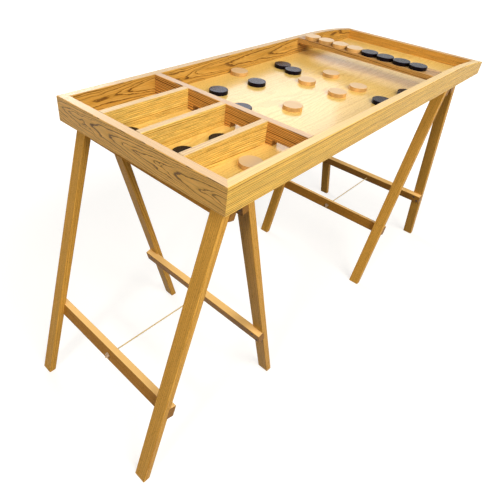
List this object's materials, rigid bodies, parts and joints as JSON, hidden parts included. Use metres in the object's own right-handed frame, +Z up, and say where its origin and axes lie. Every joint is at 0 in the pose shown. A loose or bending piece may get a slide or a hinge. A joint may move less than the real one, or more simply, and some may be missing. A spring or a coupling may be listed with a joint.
{
  "type": "dutch shuffleboard",
  "caption": "Long wooden sliding-puck board with gated pockets and a raised starting bar, lying on hinged folding trestles held open by cords, with its set of wooden pucks.",
  "frame": {"origin": "on the floor, under the middle of the whole object's box: on the tray's centre line, about midway between the two trestles' hinge lines", "axes": "+X along the tray from the pocket end to the player's end, +Y across the tray to the far side rail, +Z up"},
  "size_m": [1.5692, 0.52, 0.808],
  "materials": {
    "rail_ash": "clear satin lacquer",
    "pocket_end_ash": "clear satin lacquer",
    "player_end_ash": "clear satin lacquer",
    "gate_ash": "clear satin lacquer",
    "divider_ash": "clear satin lacquer",
    "bar_ash": "clear satin lacquer",
    "birch_plywood": "polished gloss lacquer",
    "leg_beech": "clear satin lacquer",
    "batten_beech": "clear satin lacquer",
    "hinge_steel": "dark burnished steel",
    "screw_steel": "dark phosphated steel",
    "cotton_cord": "laid natural fibre",
    "light_beech": "waxed",
    "dark_stained_beech": "stained and waxed"
  },
  "bodies": {
    "trestle_bases": {"pocket_outer_near_leg": "leg_beech", "pocket_outer_far_leg": "leg_beech", "pocket_outer_bearer": "batten_beech", "pocket_outer_stretcher": "batten_beech", "player_outer_near_leg": "leg_beech", "player_outer_far_leg": "leg_beech", "player_outer_bearer": "batten_beech", "player_outer_stretcher": "batten_beech", "outer_hinge_leaves": "hinge_steel", "hinge_pins": "hinge_steel", "outer_screws": "screw_steel", "pocket_cord": "cotton_cord", "player_cord": "cotton_cord"},
    "tray": {"near_rail": "rail_ash", "far_rail": "rail_ash", "pocket_end": "pocket_end_ash", "player_end": "player_end_ash", "floor_panel": "birch_plywood", "gate_board": "gate_ash", "divider_1": "divider_ash", "divider_2": "divider_ash", "divider_3": "divider_ash", "starting_bar": "bar_ash"},
    "pocket_inner_frame": {"pocket_inner_near_leg": "leg_beech", "pocket_inner_far_leg": "leg_beech", "pocket_inner_bearer": "batten_beech", "pocket_inner_stretcher": "batten_beech", "pocket_inner_hinge_leaves": "hinge_steel", "pocket_inner_screws": "screw_steel"},
    "player_inner_frame": {"player_inner_near_leg": "leg_beech", "player_inner_far_leg": "leg_beech", "player_inner_bearer": "batten_beech", "player_inner_stretcher": "batten_beech", "player_inner_hinge_leaves": "hinge_steel", "player_inner_screws": "screw_steel"},
    "light_puck_1": {"light_puck_1": "light_beech"},
    "light_puck_2": {"light_puck_2": "light_beech"},
    "light_puck_3": {"light_puck_3": "light_beech"},
    "light_puck_4": {"light_puck_4": "light_beech"},
    "light_puck_5": {"light_puck_5": "light_beech"},
    "light_puck_6": {"light_puck_6": "light_beech"},
    "light_puck_7": {"light_puck_7": "light_beech"},
    "light_puck_8": {"light_puck_8": "light_beech"},
    "light_puck_9": {"light_puck_9": "light_beech"},
    "light_puck_10": {"light_puck_10": "light_beech"},
    "light_puck_11": {"light_puck_11": "light_beech"},
    "dark_puck_1": {"dark_puck_1": "dark_stained_beech"},
    "dark_puck_2": {"dark_puck_2": "dark_stained_beech"},
    "dark_puck_3": {"dark_puck_3": "dark_stained_beech"},
    "dark_puck_4": {"dark_puck_4": "dark_stained_beech"},
    "dark_puck_5": {"dark_puck_5": "dark_stained_beech"},
    "dark_puck_6": {"dark_puck_6": "dark_stained_beech"},
    "dark_puck_7": {"dark_puck_7": "dark_stained_beech"},
    "dark_puck_8": {"dark_puck_8": "dark_stained_beech"},
    "dark_puck_9": {"dark_puck_9": "dark_stained_beech"},
    "dark_puck_10": {"dark_puck_10": "dark_stained_beech"},
    "dark_puck_11": {"dark_puck_11": "dark_stained_beech"},
    "dark_puck_12": {"dark_puck_12": "dark_stained_beech"},
    "dark_puck_13": {"dark_puck_13": "dark_stained_beech"},
    "dark_puck_14": {"dark_puck_14": "dark_stained_beech"}
  },
  "joints": [
    {"name": "tray_lift", "type": "slide", "parent": "trestle_bases", "child": "tray", "axis": [0, 0, 1], "range_m": [0, 0.1]},
    {"name": "pocket_fold", "type": "hinge", "parent": "trestle_bases", "child": "pocket_inner_frame", "pos_m": [-0.52611, 0, 0.733], "axis": [0.0201, 0.9998, 0], "range_deg": [0, 32], "deforming": ["pocket_cord"]},
    {"name": "player_fold", "type": "hinge", "parent": "trestle_bases", "child": "player_inner_frame", "pos_m": [0.53089, 0, 0.733], "axis": [0, -1, 0], "range_deg": [0, 32], "deforming": ["player_cord"]},
    {"name": "light_puck_1_slide", "type": "slide", "parent": "tray", "child": "light_puck_1", "axis": [1, 0, 0], "range_m": [-0.25, 0.09]},
    {"name": "light_puck_2_slide", "type": "slide", "parent": "tray", "child": "light_puck_2", "axis": [1, 0, 0], "range_m": [-0.035, 0.045]},
    {"name": "light_puck_3_slide", "type": "slide", "parent": "tray", "child": "light_puck_3", "axis": [1, 0, 0], "range_m": [-0.015, 0.43]},
    {"name": "light_puck_4_slide", "type": "slide", "parent": "tray", "child": "light_puck_4", "axis": [1, 0, 0], "range_m": [-0.025, 0.02]},
    {"name": "light_puck_5_slide", "type": "slide", "parent": "tray", "child": "light_puck_5", "axis": [1, 0, 0], "range_m": [-0.015, 0.46]},
    {"name": "light_puck_6_slide", "type": "slide", "parent": "tray", "child": "light_puck_6", "axis": [1, 0, 0], "range_m": [-0.045, 0.11]},
    {"name": "light_puck_7_slide", "type": "slide", "parent": "tray", "child": "light_puck_7", "axis": [1, 0, 0], "range_m": [-0.115, 0.02]},
    {"name": "light_puck_8_lift", "type": "slide", "parent": "tray", "child": "light_puck_8", "axis": [0, 0, 1], "range_m": [0, 0.06]},
    {"name": "light_puck_9_lift", "type": "slide", "parent": "tray", "child": "light_puck_9", "axis": [0, 0, 1], "range_m": [0, 0.06]},
    {"name": "light_puck_10_lift", "type": "slide", "parent": "tray", "child": "light_puck_10", "axis": [0, 0, 1], "range_m": [0, 0.06]},
    {"name": "light_puck_11_lift", "type": "slide", "parent": "tray", "child": "light_puck_11", "axis": [0, 0, 1], "range_m": [0, 0.06]},
    {"name": "dark_puck_1_slide", "type": "slide", "parent": "tray", "child": "dark_puck_1", "axis": [1, 0, 0], "range_m": [-0.015, 0.49]},
    {"name": "dark_puck_2_slide", "type": "slide", "parent": "tray", "child": "dark_puck_2", "axis": [1, 0, 0], "range_m": [-0.03, 0.5]},
    {"name": "dark_puck_3_slide", "type": "slide", "parent": "tray", "child": "dark_puck_3", "axis": [1, 0, 0], "range_m": [-0.03, 0.08]},
    {"name": "dark_puck_4_slide", "type": "slide", "parent": "tray", "child": "dark_puck_4", "axis": [1, 0, 0], "range_m": [-0.085, 0.05]},
    {"name": "dark_puck_5_slide", "type": "slide", "parent": "tray", "child": "dark_puck_5", "axis": [1, 0, 0], "range_m": [-0.045, 0.22]},
    {"name": "dark_puck_6_slide", "type": "slide", "parent": "tray", "child": "dark_puck_6", "axis": [1, 0, 0], "range_m": [-0.48, 0.05]},
    {"name": "dark_puck_7_slide", "type": "slide", "parent": "tray", "child": "dark_puck_7", "axis": [1, 0, 0], "range_m": [-0.01, 0.39]},
    {"name": "dark_puck_8_slide", "type": "slide", "parent": "tray", "child": "dark_puck_8", "axis": [1, 0, 0], "range_m": [-0.013, 0.18]},
    {"name": "dark_puck_9_slide", "type": "slide", "parent": "tray", "child": "dark_puck_9", "axis": [1, 0, 0], "range_m": [-0.042, 0.005]},
    {"name": "dark_puck_10_slide", "type": "slide", "parent": "tray", "child": "dark_puck_10", "axis": [1, 0, 0], "range_m": [-0.045, 0.19]},
    {"name": "dark_puck_11_lift", "type": "slide", "parent": "tray", "child": "dark_puck_11", "axis": [0, 0, 1], "range_m": [0, 0.06]},
    {"name": "dark_puck_12_lift", "type": "slide", "parent": "tray", "child": "dark_puck_12", "axis": [0, 0, 1], "range_m": [0, 0.06]},
    {"name": "dark_puck_13_lift", "type": "slide", "parent": "tray", "child": "dark_puck_13", "axis": [0, 0, 1], "range_m": [0, 0.06]},
    {"name": "dark_puck_14_lift", "type": "slide", "parent": "tray", "child": "dark_puck_14", "axis": [0, 0, 1], "range_m": [0, 0.06]}
  ]
}
